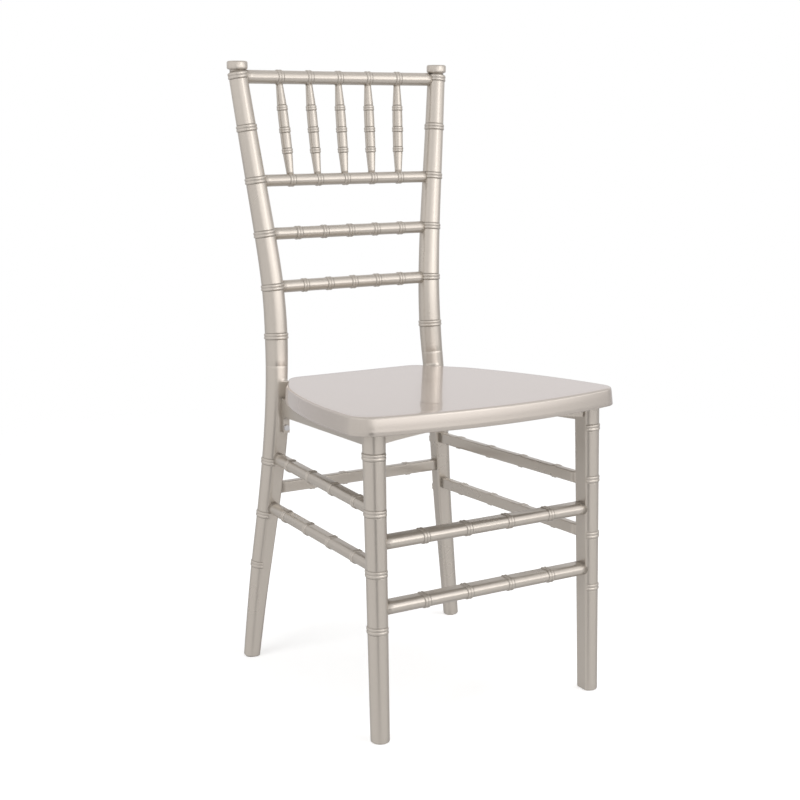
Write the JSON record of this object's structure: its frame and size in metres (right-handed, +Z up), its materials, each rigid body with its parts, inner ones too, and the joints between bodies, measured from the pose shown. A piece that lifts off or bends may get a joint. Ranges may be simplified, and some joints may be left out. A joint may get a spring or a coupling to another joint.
{
  "type": "chiavari chair",
  "caption": "Bamboo-look side chair in pale metallic resin: bowed ringed back rails with spindles, ringed legs and stretchers, moulded seat.",
  "frame": {"origin": "middle of the chair's bounding box on the floor plane", "axes": "+Z up, the front of the seat faces -Y, +X to the right of someone standing behind it"},
  "size_m": [0.4338, 0.4796, 0.9141],
  "materials": {
    "frame_resin": "pale champagne pearl resin, semi-gloss",
    "seat_resin": "pale champagne pearl resin, polished",
    "nylon": "plain moulded nylon",
    "steel": "zinc plated screws",
    "brass": "plain turned brass"
  },
  "bodies": {
    "root": {"right_rear_post": "frame_resin", "left_rear_post": "frame_resin", "right_front_leg": "frame_resin", "left_front_leg": "frame_resin", "top_rail": "frame_resin", "spindle_rail": "frame_resin", "middle_back_rail": "frame_resin", "lower_back_rail": "frame_resin", "back_spindle_1": "frame_resin", "back_spindle_2": "frame_resin", "back_spindle_3": "frame_resin", "back_spindle_4": "frame_resin", "back_spindle_5": "frame_resin", "upper_front_stretcher": "frame_resin", "lower_front_stretcher": "frame_resin", "right_upper_side_stretcher": "frame_resin", "left_upper_side_stretcher": "frame_resin", "right_lower_side_stretcher": "frame_resin", "left_lower_side_stretcher": "frame_resin", "rear_stretcher": "frame_resin", "seat_tray": "seat_resin", "front_apron": "frame_resin", "rear_apron": "frame_resin", "right_apron": "frame_resin", "left_apron": "frame_resin", "right_post_cap": "frame_resin", "left_post_cap": "frame_resin", "right_rear_glide": "nylon", "left_rear_glide": "nylon", "right_front_glide": "nylon", "left_front_glide": "nylon", "seat_screws": "steel", "joint_screws": "steel", "threaded_inserts": "brass"}
  },
  "joints": []
}
